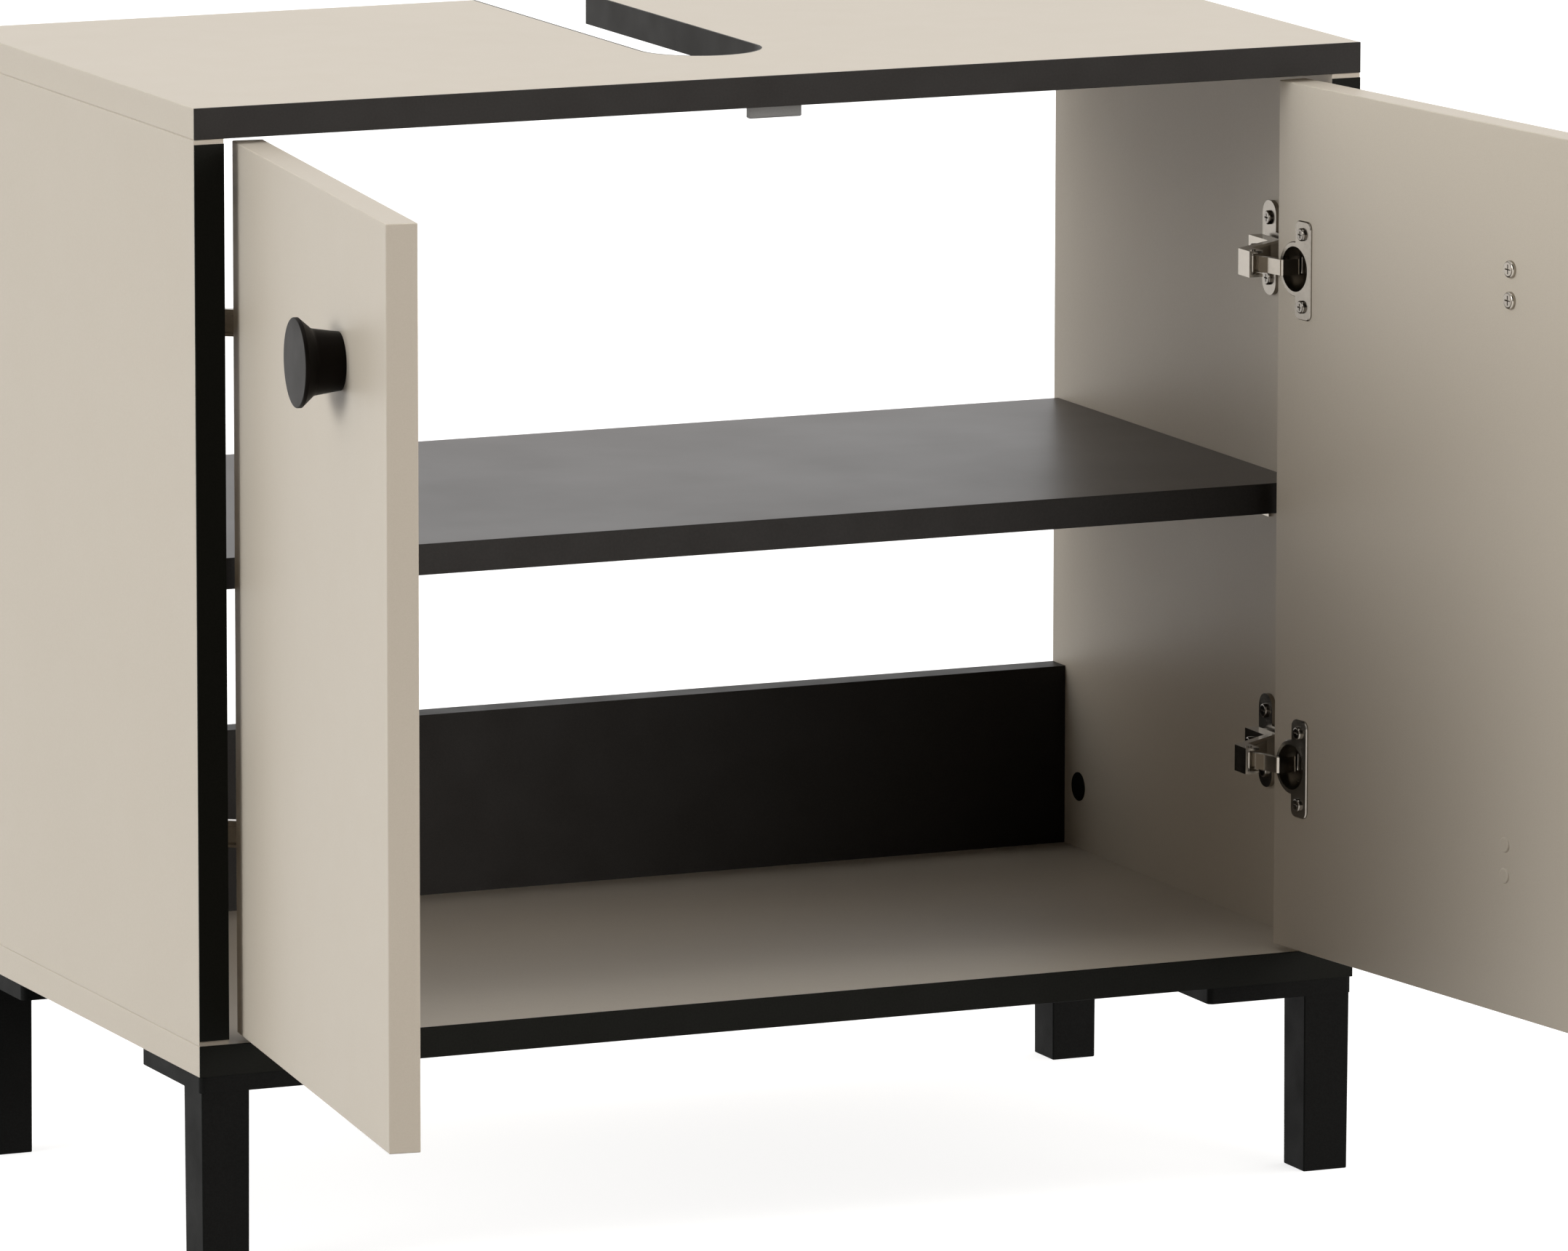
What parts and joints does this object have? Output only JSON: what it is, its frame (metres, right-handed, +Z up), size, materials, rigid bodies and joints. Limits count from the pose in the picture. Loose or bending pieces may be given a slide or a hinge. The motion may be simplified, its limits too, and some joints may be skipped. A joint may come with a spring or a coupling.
{
  "type": "vanity base cabinet",
  "caption": "Bathroom vanity base cabinet on square legs, with a siphon cut-out in its top, an open back, a shelf and inset doors with round knobs.",
  "frame": {"origin": "on the floor, at the centre of the carcass's footprint (650 by 340 mm, doors and knobs not counted)", "axes": "+Z up, +X to the right of someone who faces the doors, -Y out of the front, where the doors are; +Y to the wall"},
  "size_m": [0.7052, 0.6305, 0.598],
  "materials": {
    "beige_board": "satin melamine faced board",
    "black_band": "matt edge band",
    "cutout_lining": "matt edge band",
    "black_board": "satin melamine faced board",
    "dark_shelf": "satin melamine faced board",
    "black_plastic": "fine grained moulding",
    "grey_plastic": "moulded",
    "beige_plastic": "moulded",
    "knob_black": "matt powder coat",
    "nickel_steel": "nickel plated",
    "zinc_alloy": "bright die casting",
    "bare_wood": "fluted beech"
  },
  "bodies": {
    "carcass": {"top_panel": "beige_board", "top_front_band": "black_band", "cutout_band": "cutout_lining", "left_side_panel": "beige_board", "right_side_panel": "beige_board", "left_side_front_band": "black_band", "right_side_front_band": "black_band", "bottom_panel": "beige_board", "bottom_front_band": "black_band", "shelf_board": "dark_shelf", "shelf_front_band": "black_band", "back_rail": "black_board", "shelf_pins": "nickel_steel", "cam_locks": "zinc_alloy", "cam_bolts": "nickel_steel", "cam_cover_caps": "black_plastic", "dowels": "bare_wood", "door_stop": "grey_plastic", "door_stop_screws": "nickel_steel", "leg_screws": "nickel_steel", "hinge_plate_screws": "nickel_steel", "hinge_arm_screws": "nickel_steel", "hinge_arm_pins": "nickel_steel", "hinge_leaf_springs": "nickel_steel", "left_front_leg": "black_plastic", "right_front_leg": "black_plastic", "left_rear_leg": "black_plastic", "right_rear_leg": "black_plastic", "left_lower_hinge_plate": "nickel_steel", "left_lower_hinge_arm": "nickel_steel", "left_upper_hinge_plate": "nickel_steel", "left_upper_hinge_arm": "nickel_steel", "right_lower_hinge_plate": "nickel_steel", "right_lower_hinge_arm": "nickel_steel", "right_upper_hinge_plate": "nickel_steel", "right_upper_hinge_arm": "nickel_steel"},
    "left_hinge_links": {"left_hinge_links": "nickel_steel"},
    "left_door": {"left_door_panel": "beige_board", "left_hinge_cups": "nickel_steel", "left_hinge_cup_pins": "nickel_steel", "left_hinge_cup_screws": "nickel_steel", "left_knob": "knob_black", "left_knob_screws": "nickel_steel", "left_spare_hole_plugs": "beige_plastic"},
    "right_hinge_links": {"right_hinge_links": "nickel_steel"},
    "right_door": {"right_door_panel": "beige_board", "right_hinge_cups": "nickel_steel", "right_hinge_cup_pins": "nickel_steel", "right_hinge_cup_screws": "nickel_steel", "right_knob": "knob_black", "right_knob_screws": "nickel_steel", "right_spare_hole_plugs": "beige_plastic"}
  },
  "joints": [
    {"name": "left_door_swing", "type": "hinge", "parent": "carcass", "child": "left_door", "pos_m": [-0.2969, -0.16615, 0.3505], "axis": [0, 0, -1], "range_deg": [-97.5, 5]},
    {"name": "left_link_turn", "type": "hinge", "parent": "carcass", "child": "left_hinge_links", "pos_m": [-0.2742, -0.14765, 0.3505], "axis": [0, 0, -1], "range_deg": [-1.5, 25.5]},
    {"name": "right_door_swing", "type": "hinge", "parent": "carcass", "child": "right_door", "pos_m": [0.2969, -0.16615, 0.3505], "axis": [0, 0, 1], "range_deg": [-97.5, 5]},
    {"name": "right_link_turn", "type": "hinge", "parent": "carcass", "child": "right_hinge_links", "pos_m": [0.2742, -0.14765, 0.3505], "axis": [0, 0, 1], "range_deg": [-1.5, 25.5]}
  ],
  "couplings": [
    {"joint": "left_link_turn", "follows": "left_door_swing", "ratio": -0.26},
    {"joint": "right_link_turn", "follows": "right_door_swing", "ratio": -0.26}
  ]
}
